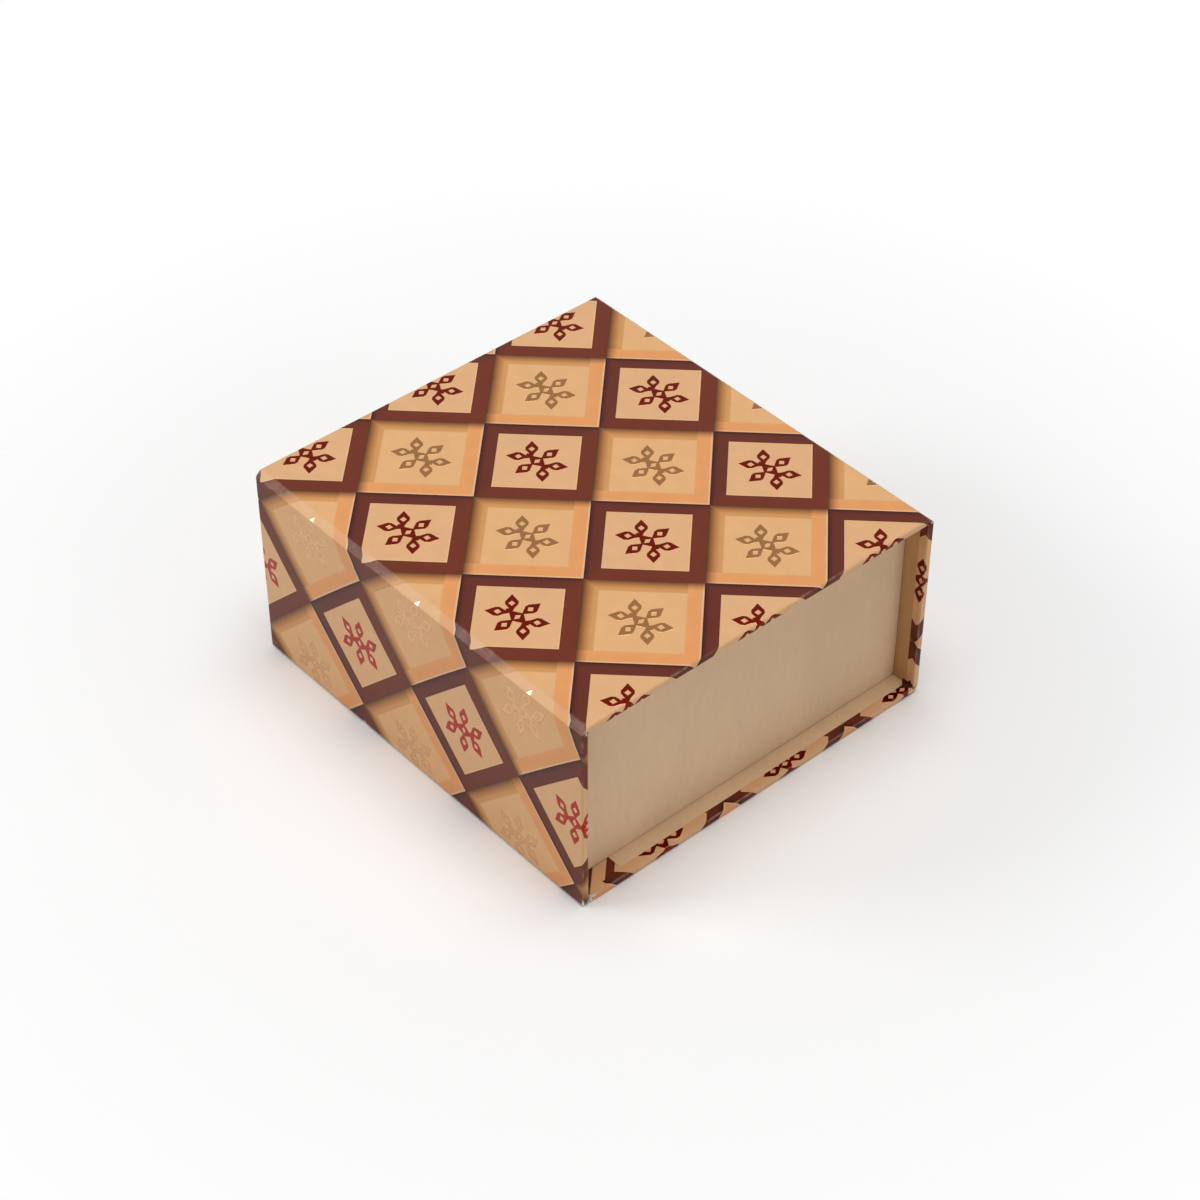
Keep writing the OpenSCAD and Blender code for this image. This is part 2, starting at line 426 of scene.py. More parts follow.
class Tree:
    """Short calls that add nodes to a material's or a world's node tree."""

    def __init__(self, owner):
        owner.use_nodes = True
        self.tree = owner.node_tree
        self.tree.nodes.clear()

    def node(self, kind, **settings):
        made = self.tree.nodes.new("ShaderNode" + kind)
        for name, value in settings.items():
            setattr(made, name, value)
        return made

    def feed(self, socket, value):
        """Sets a socket to a constant, or joins another node's output to it."""
        if isinstance(value, bpy.types.NodeSocket):
            self.tree.links.new(value, socket)
        else:
            socket.default_value = value

    def math(self, operation, *values):
        made = self.node("Math", operation=operation)
        for socket, value in zip(made.inputs, values):
            self.feed(socket, value)
        return made.outputs[0]

    def far_from(self, value, middle):
        """The distance of a value from a middle, on either side."""
        return self.math("ABSOLUTE", self.math("SUBTRACT", value, middle))

    def ramp(self, amount, *stops):
        """A colour ramp. Each stop is a position and an (r, g, b) as shown on screen, 0 to 255."""
        made = self.node("ValToRGB")
        points = made.color_ramp.elements
        while len(points) < len(stops):
            points.new(1)
        for point, (position, colour) in zip(points, stops):
            point.position = position
            point.color = screen(*colour)
        self.feed(made.inputs[0], amount)
        return made.outputs[0]

    def mix(self, amount, a, b):
        made = self.node("Mix", data_type="RGBA")
        self.feed(made.inputs["Factor"], amount)
        self.feed(made.inputs[6], a)
        self.feed(made.inputs[7], b)
        return made.outputs[2]

    def times(self, a, b):
        """One colour multiplied by another."""
        made = self.node("Mix", data_type="RGBA", blend_type="MULTIPLY")
        made.inputs["Factor"].default_value = 1
        self.feed(made.inputs[6], a)
        self.feed(made.inputs[7], b)
        return made.outputs[2]

    def fade(self, value, start, end, low=0, high=1):
        """Runs from low to high as value goes from start to end, and stays there outside."""
        made = self.node("MapRange")
        for socket, number in zip(made.inputs, (value, start, end, low, high)):
            self.feed(socket, number)
        return made.outputs[0]

    def noise(self, place, scale, detail=2, roughness=0.5):
        made = self.node("TexNoise")
        self.feed(made.inputs["Vector"], place)
        for name, value in (("Scale", scale), ("Detail", detail), ("Roughness", roughness)):
            made.inputs[name].default_value = value
        return made.outputs["Fac"]

    def place(self):
        """Object coordinates, in metres."""
        return self.node("TexCoord").outputs["Object"]

    def stretched(self, place, *scale):
        made = self.node("Mapping")
        self.feed(made.inputs["Vector"], place)
        made.inputs["Scale"].default_value = scale
        return made.outputs[0]

    def bump(self, height, distance, strength, before=None):
        """Relief of the given height, on top of the relief before it."""
        made = self.node("Bump")
        made.inputs["Distance"].default_value = distance
        made.inputs["Strength"].default_value = strength
        self.feed(made.inputs["Height"], height)
        if before:
            self.feed(made.inputs["Normal"], before)
        return made.outputs[0]

    def surface(self, **inputs):
        """The Principled shader, joined to the output. Input names use _ for a space."""
        shader = self.node("BsdfPrincipled")
        for name, value in inputs.items():
            self.feed(shader.inputs[name.replace("_", " ")], value)
        output = self.node("OutputMaterial")
        self.tree.links.new(shader.outputs[0], output.inputs[0])


def new_material(name):
    material = bpy.data.materials.new(name)
    return material, Tree(material)


# The print: square tiles on their corners, in dark and light frames with painted shadows.
# Places in a tile are in half diagonals, so its sides lie where |x| + |y| is 1.

FRAME_EDGE = 0.722                   # a frame reaches from here to the tile's side
DARK_INNER = (226, 177, 130)
LIGHT_INNER = (229, 178, 125)
PALE_LINE = (238, 194, 148)
UNSHADED = (255, 255, 255)
RUBBED = (206, 182, 154)
TORN = (232, 226, 218)

# The snowflake, in half diagonals too. A size is half a diamond's length and half its width.
# A leaf has the place where it starts, and its angle in degrees.

UPRIGHT_LEAF = (0, 0.076, 90)
SLANTED_LEAF = (0.134, 0.026, 41.5)
BLADE_MIDDLE = 0.132
BLADE_SIZE = (0.145, 0.094)
BLADE_WAIST = 0.078
HOLE_MIDDLE = 0.122
HOLE_SIZE = (0.044, 0.04)
HUB_SIZE = (0.16, 0.094)
HUB_HOLE_SIZE = (0.034, 0.05)
JOINT_MIDDLE = 0.146
JOINT_SIZE = (0.052, 0.085)
FOIL_EDGE = 0.003                    # the foil fades over this much on either side of its edge


def print_tiles(t, across, along):
    """The print's colour, whether a point is in a light tile, and its place in its tile.
    A tile's two right sides are lit. Its two left sides lie in the shadow of their neighbours."""
    off_x = t.math("SUBTRACT", across, t.math("ROUND", across))
    off_y = t.math("SUBTRACT", along, t.math("ROUND", along))
    reach = t.math("ADD", t.math("ABSOLUTE", off_x), t.math("ABSOLUTE", off_y))
    light = t.math("GREATER_THAN", reach, 0.5)

    def in_tile(off):
        to_light_tile = t.math("MULTIPLY", t.math("SIGN", off), t.math("MULTIPLY", light, 0.5))
        return t.math("MULTIPLY", t.math("SUBTRACT", off, to_light_tile), 2)

    x, y = in_tile(off_x), in_tile(off_y)
    to_lit_side = t.math("ADD", x, t.math("ABSOLUTE", y))
    to_shaded_side = t.math("SUBTRACT", t.math("ABSOLUTE", y), x)
    out = t.math("MAXIMUM", to_lit_side, to_shaded_side)

    dark_lit = t.ramp(out, (0.705, DARK_INNER), (0.715, PALE_LINE), (FRAME_EDGE, PALE_LINE),
                      (0.73, (106, 44, 24)), (0.765, (113, 49, 31)), (1, (111, 49, 31)))
    dark_shaded = t.ramp(out, (FRAME_EDGE, DARK_INNER), (0.73, (92, 40, 24)),
                         (0.76, (104, 46, 33)), (0.92, (100, 44, 33)), (1, (88, 40, 32)))
    light_lit = t.ramp(to_lit_side, (FRAME_EDGE, (229, 161, 104)), (0.84, (230, 158, 99)),
                       (0.96, (227, 159, 103)), (0.98, (237, 187, 143)), (1, (224, 170, 126)))
    light_shaded = t.ramp(to_shaded_side, (0.715, LIGHT_INNER), (0.735, (212, 156, 99)),
                          (0.85, (206, 146, 87)), (1, (200, 140, 84)))
    dark_shadow = t.ramp(to_shaded_side, (0.90, UNSHADED), (0.96, (216, 216, 222)),
                         (1, (142, 150, 176)))
    light_shadow = t.ramp(to_shaded_side, (0.80, UNSHADED), (0.88, (224, 218, 214)),
                          (0.95, (174, 162, 162)), (1, (100, 88, 92)))

    dark_sides = t.mix(t.fade(x, -0.08, 0.08), dark_shaded, dark_lit)
    light_sides = t.mix(t.fade(to_lit_side, FRAME_EDGE, 0.73), light_shaded, light_lit)
    dark_tile = t.times(dark_sides, dark_shadow)
    light_tile = t.times(light_sides, light_shadow)
    return t.mix(light, dark_tile, light_tile), light, x, y


def snowflake(t, x, y):
    """Foil where a point is inside a six-armed snowflake: 1 inside, 0 outside. Its arms are
    leaves with a hole, two upright ones and four on the slant, round a small pierced hub."""
    x, y = t.math("ABSOLUTE", x), t.math("ABSOLUTE", y)

    def diamond(u, v, size, depth):
        """The given depth in the middle of a diamond, 0 on its edge. A hole's is below 0."""
        half_u, half_v = size
        reach = t.math("ADD", t.math("DIVIDE", u, half_u), t.math("DIVIDE", v, half_v))
        return t.math("MULTIPLY", t.math("SUBTRACT", 1, reach), depth)

    def leaf(start_x, start_y, angle):
        dx, dy = t.math("SUBTRACT", x, start_x), t.math("SUBTRACT", y, start_y)
        c, s = math.cos(math.radians(angle)), math.sin(math.radians(angle))
        along = t.math("ADD", t.math("MULTIPLY", dx, c), t.math("MULTIPLY", dy, s))
        across = t.math("SUBTRACT", t.math("MULTIPLY", dy, c), t.math("MULTIPLY", dx, s))
        aside = t.math("ABSOLUTE", across)
        blade = diamond(t.far_from(along, BLADE_MIDDLE), aside, BLADE_SIZE, 0.08)
        waist = t.math("SUBTRACT", BLADE_WAIST, aside)
        hole = diamond(t.far_from(along, HOLE_MIDDLE), aside, HOLE_SIZE, -0.03)
        return t.math("MINIMUM", t.math("MINIMUM", blade, waist), hole)

    inside = t.math("MINIMUM", diamond(x, y, HUB_SIZE, 0.08), diamond(x, y, HUB_HOLE_SIZE, -0.03))
    joint = diamond(t.far_from(x, JOINT_MIDDLE), y, JOINT_SIZE, 0.03)
    for part in (joint, leaf(*UPRIGHT_LEAF), leaf(*SLANTED_LEAF)):
        inside = t.math("MAXIMUM", inside, part)
    return t.fade(inside, -FOIL_EDGE, FOIL_EDGE)


def printed_paper(name, red_foil_and_reflection, gold_foil_and_reflection, foil_relief, gloss):
    """Film-laminated paper: the print, pressed foil snowflakes, and pale rubbed edges. The foil
    colours it is given are red and gold with a painted reflection in them, dark or bright for
    what the foil mirrors.
    """
    material, t = new_material(name)
    sheet = t.node("SeparateXYZ")
    t.feed(sheet.inputs[0], t.node("UVMap", uv_map="sheet").outputs[0])
    colour, light, x, y = print_tiles(t, sheet.outputs["X"], sheet.outputs["Y"])
    foil = snowflake(t, x, y)

    place = t.place()
    fibres = t.noise(place, 2600, detail=3, roughness=0.7)
    mottle = t.noise(place, 260, detail=3)
    tint = t.ramp(t.math("ADD", t.math("MULTIPLY", fibres, 0.5), t.math("MULTIPLY", mottle, 0.5)),
                  (0.3, (243, 243, 243)), (0.7, (255, 255, 255)))

    edge = t.node("Attribute", attribute_name="edge_wear").outputs["Fac"]
    rubbed = t.fade(t.noise(place, 420, detail=4, roughness=0.65), 0.45, 0.65, 0.05, 0.3)
    paper = t.mix(t.math("MULTIPLY", edge, rubbed), t.times(colour, tint), screen(*RUBBED))
    torn = t.fade(t.math("ADD", edge, t.noise(place, 900, detail=4, roughness=0.7)), 1.8, 1.9)
    paper = t.mix(torn, paper, screen(*TORN))

    # painted reflection: the foil colours given are darkened or brightened for what the foil mirrors
    foil_and_reflection_colour = t.mix(light, screen(*red_foil_and_reflection), screen(*gold_foil_and_reflection))
    waves = t.bump(t.noise(place, 120, detail=1), 0.6 * mm, 0.1)
    grain = t.bump(fibres, 0.02 * mm, 0.25, waves)
    t.surface(Base_Color=t.mix(foil, paper, foil_and_reflection_colour), Metallic=foil,
              Roughness=t.fade(foil, 0, 1, 0.28, 0.2), Specular_IOR_Level=gloss,
              Normal=t.bump(foil, foil_relief, 0.8, grain))
    return material


def plain_paper(name, colour, grain_strength=0.35, discs=()):
    """Uncoated paper: flecks, fibres and a faint grain. A disc glued under it shows as
    a faint ring. Each disc is its middle and its radius in the plane of x and z."""
    material, t = new_material(name)
    place = t.place()
    fibres = t.noise(place, 1500, detail=4, roughness=0.75)
    grain = t.noise(t.stretched(place, 700, 700, 240), 1, detail=2)
    clouds = t.noise(t.stretched(place, 60, 60, 22), 1, detail=2)
    fine = t.math("ADD", fibres, grain)
    mixed = t.math("ADD", t.math("MULTIPLY", fine, 0.25), t.math("MULTIPLY", clouds, 0.5))
    low = tuple(level * 0.965 for level in colour)
    high = tuple(min(255, level * 1.015) for level in colour)
    tone = t.ramp(mixed, (0.38, low), (0.62, high))
    flecks = t.fade(t.noise(place, 900, detail=1), 0.71, 0.75, 0, 0.18)
    tone = t.mix(flecks, tone, screen(*(level * 0.8 for level in colour)))
    relief = t.bump(fine, 0.03 * mm, grain_strength)
    for x, z, radius in discs:
        middle = t.node("VectorMath", operation="MULTIPLY")
        t.feed(middle.inputs[0], place)
        middle.inputs[1].default_value = (1, 0, 1)
        apart = t.node("VectorMath", operation="DISTANCE")
        t.feed(apart.inputs[0], middle.outputs[0])
        apart.inputs[1].default_value = (x, 0, z)
        raised = t.fade(apart.outputs["Value"], radius - 0.3 * mm, radius + 0.5 * mm, 1, 0)
        relief = t.bump(raised, 0.08 * mm, 0.6, relief)
    t.surface(Base_Color=tone, Roughness=0.78, Specular_IOR_Level=0.22, Normal=relief)
    return material


def paper_core():
    """The cut edge of the printed paper shows its white core."""
    material, t = new_material("paper_core")
    fibres = t.noise(t.place(), 4000, detail=3)
    t.surface(Base_Color=t.ramp(fibres, (0.3, (205, 196, 184)), (0.7, (236, 230, 220))),
              Roughness=0.85, Specular_IOR_Level=0.2, Normal=t.bump(fibres, 0.03 * mm, 0.4))
    return material


def greyboard():
    """Recycled board: grey pulp with dark and pale fibres."""
    material, t = new_material("greyboard")
    place = t.place()
    pulp = t.noise(place, 700, detail=5, roughness=0.7)
    strands = t.noise(t.stretched(place, 500, 2600, 2600), 1, detail=3)
    tone = t.ramp(pulp, (0.32, (118, 110, 99)), (0.5, (146, 137, 124)), (0.68, (168, 159, 146)))
    dark = t.fade(strands, 0.64, 0.7, 0, 0.55)
    tone = t.mix(dark, tone, screen(80, 72, 64))
    t.surface(Base_Color=tone, Roughness=0.92, Specular_IOR_Level=0.2,
              Normal=t.bump(t.math("ADD", pulp, strands), 0.12 * mm, 0.5))
    return material


def bare_metal(name, colour, roughness, stretch):
    """Plated or rolled steel with fine rolling marks."""
    material, t = new_material(name)
    marks = t.noise(t.stretched(t.place(), *stretch), 1, detail=4)
    t.surface(Base_Color=t.ramp(marks, (0.3, tuple(level * 0.9 for level in colour)), (0.7, colour)),
              Metallic=1.0, Roughness=t.fade(marks, 0.3, 0.7, roughness * 0.8, roughness * 1.25),
              Normal=t.bump(marks, 0.02 * mm, 0.3))
    return material


MAGNET_X = 28 * mm
MAGNET_Z = 36 * mm
MAGNET_RADIUS = 5 * mm

# Painted reflections in the foils: the same red and gold foil is dark in PRINT, as if it mirrored dim
# surroundings, and bright in the flap's print, as if it mirrored the pale floor that the flap and the
# front fold face.
PRINT = printed_paper("printed_paper", red_foil_and_reflection=(108, 21, 2), gold_foil_and_reflection=(152, 108, 66),
                      foil_relief=0.05 * mm, gloss=0.1)
FLAP_PRINT_BRIGHT_REFLECTION = printed_paper("printed_paper_flap_bright_reflection", red_foil_and_reflection=(158, 36, 22), gold_foil_and_reflection=(208, 162, 118),
                           foil_relief=0.1 * mm, gloss=0.12)
CORE = paper_core()
LINER = plain_paper("liner_paper", (222, 188, 146))
# The same liner paper, painted lighter and greyer on the base as painted light, and darker and warmer
# on the spine as painted shade in the recess under the lid.
BASE_LINER_PAINTED_LIGHT = plain_paper("base_liner_paper_painted_light", (226, 193, 156))
SPINE_LINER_PAINTED_SHADE = plain_paper("spine_liner_paper_painted_shade", (200, 156, 108))
FLAP_LINER = plain_paper("flap_liner_paper", (222, 188, 146), discs=[
    (side * MAGNET_X, MAGNET_Z, MAGNET_RADIUS) for side in (-1, 1)])
TRAY_PAPER = plain_paper("tray_paper", (222, 190, 155), grain_strength=0.5)
BOARD = greyboard()
MAGNET = bare_metal("magnet_plating", (196, 196, 200), roughness=0.22, stretch=(900, 900, 900))
PLATE = bare_metal("plate_steel", (172, 173, 176), roughness=0.36, stretch=(4000, 4000, 160))


# The case's panels

def run_into_folds(panel):
    """In edit mode, runs the covered sides on to a point in each fold."""
    folds = [(0, -1)] if panel.free_end else [(0, -1), (panel.length, 1)]
    for fold_y, outwards in folds:
        for side in (-1, 1):
            pick_edges(lambda middle, along: abs(middle.y - fold_y) < NEAR and along.y < 0.1
                       and side * middle.x > half_width - EDGE_ROUND)
            pull(-side * POINT_INSET, outwards * fold_leg * POINT_REACH, 0)
            bpy.ops.mesh.merge(type="CENTER")


def cut_for_print(panel):
    """In edit mode, cuts the mesh where the print slips, wears or meets at a mitre."""
    rows = 14 if panel is FLAP else 4    # most of the slip is on the flap
    for row in range(1, rows):
        cut((0, panel.length * row / rows, 0), (0, 1, 0))
    if not panel.free_end:
        return
    cut((0, panel.length - WORN_CORNER, 0), (0, 1, 0))
    for side in (-1, 1):
        cut((side * (half_width - WORN_CORNER), 0, 0), (1, 0, 0))
        if panel.ear:
            cut((side * (half_width - EAR_WIDTH), 0, 0), (1, 0, 0))
        pick_faces(lambda middle, normal: middle.z > wrap_depth / 2 and normal.z > 0.5
                   and middle.y > panel.length / 2)
        bpy.ops.mesh.bisect(plane_co=(side * half_width, panel.length - panel.ear, 0),
                            plane_no=(panel.mitre, -side, 0))


def cover(panel):
    """One panel's printed wrap: its face, its rounded edges and its turned-in margins."""
    piece = add_block(panel.name + "_cover", (-half_width, 0, 0),
                      (half_width, panel.length, wrap_depth))
    # the flap's print has its foils painted bright, as a painted reflection
    give_materials(piece, FLAP_PRINT_BRIGHT_REFLECTION if panel is FLAP else PRINT, CORE)
    edit()
    pick_faces(lambda middle, normal: normal.y < -0.9 or normal.y > 0.9 and not panel.free_end)
    bpy.ops.mesh.delete(type="ONLY_FACE")
    far_end = panel.length - NEAR
    pick_edges(lambda middle, along: along.y > 0.9 or panel.free_end and middle.y > far_end)
    bpy.ops.mesh.bevel(offset=EDGE_ROUND, segments=5, affect="EDGES")

    # The margins reach in over the board, with an open window between them
    pick_faces(lambda middle, normal: normal.z > 0.99)
    bpy.ops.mesh.inset(thickness=TURN_IN - EDGE_ROUND, use_boundary=False)
    bpy.ops.mesh.delete(type="FACE")
    run_into_folds(panel)
    cut_for_print(panel)
    done()

    thicken(piece, PAPER_T, rim_slot=1)
    unroll_panel(piece, panel)
    mark_panel_wear(piece, panel)
    smooth(piece)
    set_down(piece, panel.origin, panel.turn)
    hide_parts(panel.name + "_wrap")
    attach(piece, panel.body)


def lining(panel, material):
    """One panel's liner: it laps the turned-in margins, sinks to the board between them, and
    turns down over the board's end at each fold."""
    low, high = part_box(panel.name + "_liner")
    half = high.x
    if panel is FLAP:
        end = panel.length - (low.z - flap_low.z)
    elif panel is BASE:
        end = panel.length - (low.y - base_low.y)
    else:
        end = panel.length + LINER_LAP
    piece = add_sheet(panel.name + "_lining", (-half, -LINER_LAP), (half, end), liner_top)
    give_materials(piece, material)
    edit()
    step_x, step_y = half_width - panel.liner_step, panel.length - panel.liner_step
    sunk_x, sunk_y = step_x - LINER_RAMP, step_y - LINER_RAMP
    for x in (step_x, sunk_x, -step_x, -sunk_x):
        cut((x, 0, 0), (1, 0, 0))
    if panel.free_end:
        for y in (step_y, sunk_y):
            cut((0, y, 0), (0, 1, 0))
    pick_faces(lambda middle, normal: abs(middle.x) < sunk_x
               and not (panel.free_end and middle.y > sunk_y))
    bpy.ops.transform.translate(value=(0, 0, -LINER_SINK))

    # The turned-down ends reach nearly to the panel's sides
    to_side = half_width - half - LINER_SHORT
    folds = [-LINER_LAP] if panel.free_end else [-LINER_LAP, end]
    for fold_y in folds:
        pick_edges(lambda middle, along: abs(middle.y - fold_y) < NEAR and along.x > 0.5)
        pull(0, 0, -LINER_DROP)
        for side in (-1, 1):
            pick_edges(lambda middle, along: abs(middle.y - fold_y) < NEAR and along.z > 0.9
                       and side * middle.x > half - NEAR)
            pull(side * to_side, 0, 0)
    pick_edges(lambda middle, along: along.x > 0.5 and middle.z > liner_top - LINER_DROP / 2
               and any(abs(middle.y - y) < NEAR for y in folds) and abs(middle.x) < half)
    bpy.ops.mesh.bevel(offset=LINER_BEND, segments=3, affect="EDGES")
    done()

    turn_show_side(piece, guide=lambda face: -face.center.z, up=True)
    thicken(piece, LINER_T)
    smooth(piece)
    set_down(piece, panel.origin, panel.turn)
    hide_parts(panel.name + "_liner")
    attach(piece, panel.body)


# The folds between the panels

def hang(piece, fold):
    """A fold between two bodies keeps its place baked into its mesh. The base's fold rides on the
    base."""
    if len(fold.bodies) == 2:
        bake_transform(piece)
    else:
        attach(piece, fold.bodies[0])


def bent_strip(name):
    """A strip bent through a right angle, with its ends turned in. An odd number of steps puts
    no points where it creases."""
    end_depth = fold_leg / 2
    bpy.ops.object.select_all(action="DESELECT")
    bpy.ops.mesh.primitive_plane_add(size=1, location=(0, 0, end_depth / 2),
                                     rotation=(math.pi / 2, 0, 0))
    strip = bpy.context.object
    strip.name = strip.data.name = name
    strip.scale = (2 * half_width, end_depth, 1)
    bpy.ops.object.transform_apply(location=True, rotation=True, scale=True)
    edit()
    pick_edges(lambda middle, along: middle.z > end_depth * 0.9)
    bpy.ops.mesh.delete(type="EDGE")
    pick_points(lambda place: place.z < end_depth * 0.1)
    bpy.ops.mesh.bevel(offset=EDGE_ROUND, segments=4, affect="VERTICES")
    bpy.ops.mesh.select_all(action="SELECT")
    bpy.ops.mesh.spin(steps=17, angle=math.pi / 2, center=(0, 0, fold_leg), axis=(1, 0, 0))
    done()
    turn_show_side(strip, guide=lambda face: abs(face.center.x), up=False)
    return strip


def press_crown(strip):
    """Presses the crown of a bent strip flat."""
    level = fold_leg * math.sqrt(0.5) - math.sqrt(fold_leg ** 2 - (CROWN_WIDTH / 2) ** 2)
    strip.rotation_euler.x = math.pi / 4
    bpy.ops.object.transform_apply(rotation=True)
    edit()
    pick_points(lambda place: place.z < level)
    bpy.ops.transform.resize(value=(1, 1, 0), center_override=(0, 0, level))
    done()
    strip.rotation_euler.x = -math.pi / 4
    bpy.ops.object.transform_apply(rotation=True)


def fold_cover(fold):
    """The bare strip of wrap that bends from one board to the next."""
    piece = bent_strip(fold.name + "_cover")
    # the front fold takes the flap's print, with its painted bright foil reflection
    give_materials(piece, FLAP_PRINT_BRIGHT_REFLECTION if fold is FRONT_FOLD else PRINT, CORE)
    unroll_fold(piece, fold)
    press_crown(piece)
    thicken(piece, PAPER_T, rim_slot=1)
    mark_fold_wear(piece)
    smooth(piece, flat_faces=False)
    set_down(piece, fold.panel.origin, fold.panel.turn)
    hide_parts(fold.name)
    hang(piece, fold)


def fold_lining(fold):
    """The liner behind a fold lies in a narrow pleat from the boards' inner edges to the axis
    of the bend."""
    half = half_width - PLEAT_SHORT
    pleat = fold_leg * math.sqrt(0.5) - PLEAT_GAP
    piece = add_sheet(fold.name + "_lining", (-half, 0), (half, pleat), -PLEAT_GAP / 2)
    give_materials(piece, LINER)
    edit()
    pick_edges(lambda middle, along: along.x > 0.5 and middle.y < NEAR)
    pull(0, 0, PLEAT_GAP)
    pull(0, pleat, 0)
    done()
    turn_show_side(piece, guide=lambda face: face.center.z, up=True)
    thicken(piece, PLEAT_T)
    smooth(piece, flat_faces=False)
    set_down(piece, (0, -fold_leg / 2, fold_leg / 2), (math.pi / 4, 0, 0))
    set_down(piece, fold.panel.origin, fold.panel.turn)
    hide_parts(fold.name + "_liner")
    hang(piece, fold)


def corner_tucks():
    """Where the base meets the spine, the spare wrap is folded into a small triangle that lies on
    the base's turned-in margin at each side. It shows the print's dark frame, which also stands
    in as painted shade in the crease there."""
    wall_y = spine_low.y
    outer = half_width - TUCK_SHORT
    for side, name in ((-1, "tuck_left"), (1, "tuck_right")):
        piece = add_sheet(name, (TUCK_INNER, wall_y - TUCK_LENGTH), (outer, wall_y), panel_t + PAPER_T)
        give_materials(piece, PRINT)
        edit()
        pick_edges(lambda middle, along: along.x > 0.5 and middle.y < wall_y - TUCK_LENGTH / 2)
        bpy.ops.mesh.merge(type="CENTER")
        bpy.ops.transform.translate(value=(TUCK_POINT - (TUCK_INNER + outer) / 2, 0, -PAPER_T / 2))
        pick_edges(lambda middle, along: along.x > 0.5 and middle.y > wall_y - NEAR)
        bpy.ops.transform.translate(value=(0, -TUCK_OFF_SPINE, 0))
        pull(0, 0, TUCK_RISE)
        bpy.ops.mesh.select_all(action="SELECT")
        bpy.ops.mesh.subdivide(number_cuts=2)
        done()
        thicken(piece, PAPER_T)
        sheet = sheet_map(piece)
        for loop in piece.data.loops:
            x, y, z = piece.data.vertices[loop.vertex_index].co
            # painted shade: the tuck shows the print's dark frame, dark also for the crease's shade
            sheet.data[loop.index].uv = (TUCK_PRINT_AS_SHADE + (x - half_width) / REPEAT_X / 2,
                                         (y - wall_y) / REPEAT_Y / 2)
        if side < 0:
            piece.scale = (-1, 1, 1)
            bpy.ops.object.transform_apply(scale=True)
            make_faces_agree()
        smooth(piece, flat_faces=False)
        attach(piece, "base")


# The tray's papers

def tray_cover():
    """The paper on the tray's outside: up each wall, over the soft rim and a little way in."""
    low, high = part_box("tray_wrap")
    piece = add_block("tray_cover", low, high)
    give_materials(piece, TRAY_PAPER)
    edit()
    pick_faces(lambda middle, normal: normal.z > 0.9)
    bpy.ops.mesh.inset(thickness=TRAY_WALL)
    pull(0, 0, -RIM_TURN_IN)
    bpy.ops.mesh.delete(type="ONLY_FACE")
    rim_foot = high.z - RIM_TURN_IN
    pick_edges(lambda middle, along: along.z > 0.9 or abs(middle.z - rim_foot) > NEAR
               and along.x + along.y > 0.99)
    bpy.ops.mesh.bevel(offset=RIM_ROUND, segments=5, affect="EDGES")
    pick_faces(lambda middle, normal: normal.z < -0.99 and middle.z < low.z + NEAR)
    bpy.ops.mesh.delete(type="ONLY_FACE")
    done()
    thicken(piece, PAPER_T)
    smooth(piece)
    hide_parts("tray_wrap")
    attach(piece, "base")


def tray_inner():
    """The paper on the tray's floor and up its walls, soft in the corners."""
    low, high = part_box("tray_lining")
    low = low + Vector((INNER_OFF_WALL, INNER_OFF_WALL, INNER_OFF_FLOOR))
    high = high - Vector((INNER_OFF_WALL, INNER_OFF_WALL, 0))
    piece = add_block("tray_inner", low, high)
    give_materials(piece, TRAY_PAPER)
    edit()
    pick_faces(lambda middle, normal: normal.z > 0.9)
    bpy.ops.mesh.delete(type="ONLY_FACE")
    pick_edges(lambda middle, along: middle.z < high.z - NEAR)
    bpy.ops.mesh.bevel(offset=INNER_ROUND, segments=5, affect="EDGES")
    flip_faces()
    done()
    thicken(piece, INNER_T)
    smooth(piece)
    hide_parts("tray_lining")
    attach(piece, "base")


# the base's and the spine's liners carry painted light and painted shade
for panel, liner in ((LID, LINER), (FLAP, FLAP_LINER), (SPINE, SPINE_LINER_PAINTED_SHADE), (BASE, BASE_LINER_PAINTED_LIGHT)):
    cover(panel)
    lining(panel, liner)
for fold in (BACK_FOLD, FRONT_FOLD, BASE_FOLD):
    fold_cover(fold)
    fold_lining(fold)
corner_tucks()
tray_cover()
tray_inner()

# These pieces keep their meshes and take better materials

CARRIED_OVER = {
    BOARD: ("base_board", "spine_board", "lid_board", "flap_board", "tray_bottom", "tray_front",
            "tray_back", "tray_left", "tray_right"),
    MAGNET: ("flap_magnets",),
    PLATE: ("catch_plates",),
}
for material, names in CARRIED_OVER.items():
    for name in names:
        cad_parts[name].material_slots[0].material = material


# Floor, light and camera

BOX_MIDDLE = Vector((0, 0, 0.025))
EYE = Vector((0.3652, -0.32051, 0.44998))
FLOOR_RADIUS = 3
FLOOR_FADE = (0.07, 0.2)             # the floor fades out between these distances


def pale_floor():
    """A wide pale floor that takes the box's shadow and fades out to the white surroundings."""
    bpy.ops.object.select_all(action="DESELECT")
    bpy.ops.mesh.primitive_circle_add(vertices=96, radius=FLOOR_RADIUS, fill_type="NGON",
                                      location=(0, 0, 0))
    floor = bpy.context.object
    floor.name = floor.data.name = "floor"
    material, t = new_material("floor")
    distance = t.node("VectorMath", operation="LENGTH")
    t.feed(distance.inputs[0], t.place())
    from_below = t.node("NewGeometry").outputs["Backfacing"]
    to_camera = t.node("LightPath").outputs["Is Camera Ray"]
    far = t.math("MULTIPLY", t.fade(distance.outputs["Value"], *FLOOR_FADE), to_camera)
    diffuse = t.node("BsdfDiffuse")
    diffuse.inputs["Color"].default_value = (0.94, 0.94, 0.94, 1)
    clear = t.node("BsdfTransparent")
    both = t.node("MixShader")
    t.feed(both.inputs[0], t.math("MAXIMUM", far, from_below))
    t.feed(both.inputs[1], diffuse.outputs[0])
    t.feed(both.inputs[2], clear.outputs[0])
    t.feed(t.node("OutputMaterial").inputs[0], both.outputs[0])
    give_materials(floor, material)


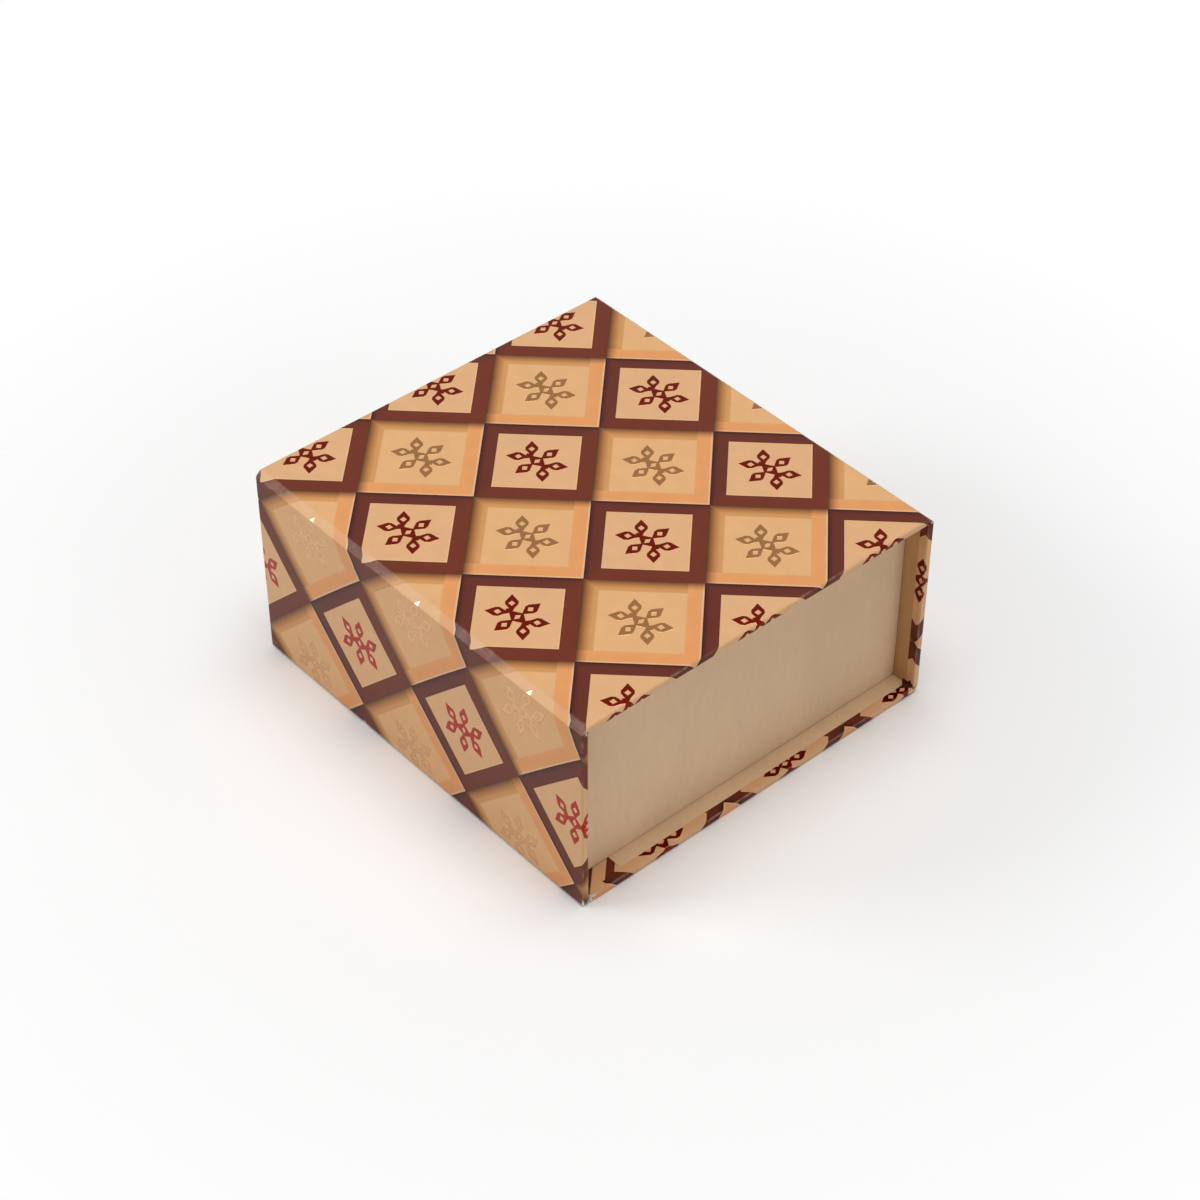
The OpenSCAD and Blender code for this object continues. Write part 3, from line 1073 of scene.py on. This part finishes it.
def surroundings(level):
    """White to the eye and to gloss, and an even light of the given level on the box."""
    world = bpy.data.worlds.new("studio")
    bpy.context.scene.world = world
    t = Tree(world)
    rays = t.node("LightPath").outputs
    seen = t.math("MAXIMUM", rays["Is Camera Ray"],
                  t.math("MAXIMUM", rays["Is Glossy Ray"], rays["Is Transmission Ray"]))
    background = t.node("Background")
    background.inputs["Color"].default_value = (1, 1, 1, 1)
    t.feed(background.inputs["Strength"], t.fade(seen, 0, 1, level, 1))
    t.feed(t.node("OutputWorld").inputs[0], background.outputs[0])


def softbox(name, direction, distance, width, height, power):
    """A rectangular lamp that looks at the middle of the box."""
    data = bpy.data.lights.new(name, "AREA")
    data.shape = "RECTANGLE"
    data.size, data.size_y, data.energy = width, height, power
    lamp = bpy.data.objects.new(name, data)
    bpy.context.scene.collection.objects.link(lamp)
    away = Vector(direction).normalized()
    lamp.location = BOX_MIDDLE + away * distance
    lamp.rotation_euler = away.to_track_quat("Z", "Y").to_euler()


def camera():
    """The photograph's view: from the front right, looking down at the box."""
    azimuth, elevation, roll = math.radians(48.52), math.radians(41.48), math.radians(0.09)
    back = Vector((math.sin(azimuth) * math.cos(elevation),
                   -math.cos(azimuth) * math.cos(elevation),
                   math.sin(elevation)))
    level = Vector((math.cos(azimuth), math.sin(azimuth), 0))
    right = math.cos(roll) * level + math.sin(roll) * back.cross(level)
    data = bpy.data.cameras.new("camera")
    data.sensor_width = 36
    data.lens = 87.66
    data.clip_start, data.clip_end = 0.01, 20
    eye = bpy.data.objects.new("camera", data)
    bpy.context.scene.collection.objects.link(eye)
    turn = Matrix((right, back.cross(right), back)).transposed()
    eye.matrix_world = Matrix.Translation(EYE) @ turn.to_4x4()
    bpy.context.scene.camera = eye


pale_floor()
surroundings(0.12)
softbox("overhead", (0.04, 0.03, 1), distance=1.2, width=0.9, height=0.9, power=11.4)
softbox("front_left", (-0.56, -0.66, 0.5), distance=1.2, width=0.5, height=0.2, power=4.4)
softbox("right_fill", (1, 0.3, 0.3), distance=1.5, width=0.8, height=0.8, power=4.0)
camera()
bpy.context.scene.view_settings.view_transform = "Standard"
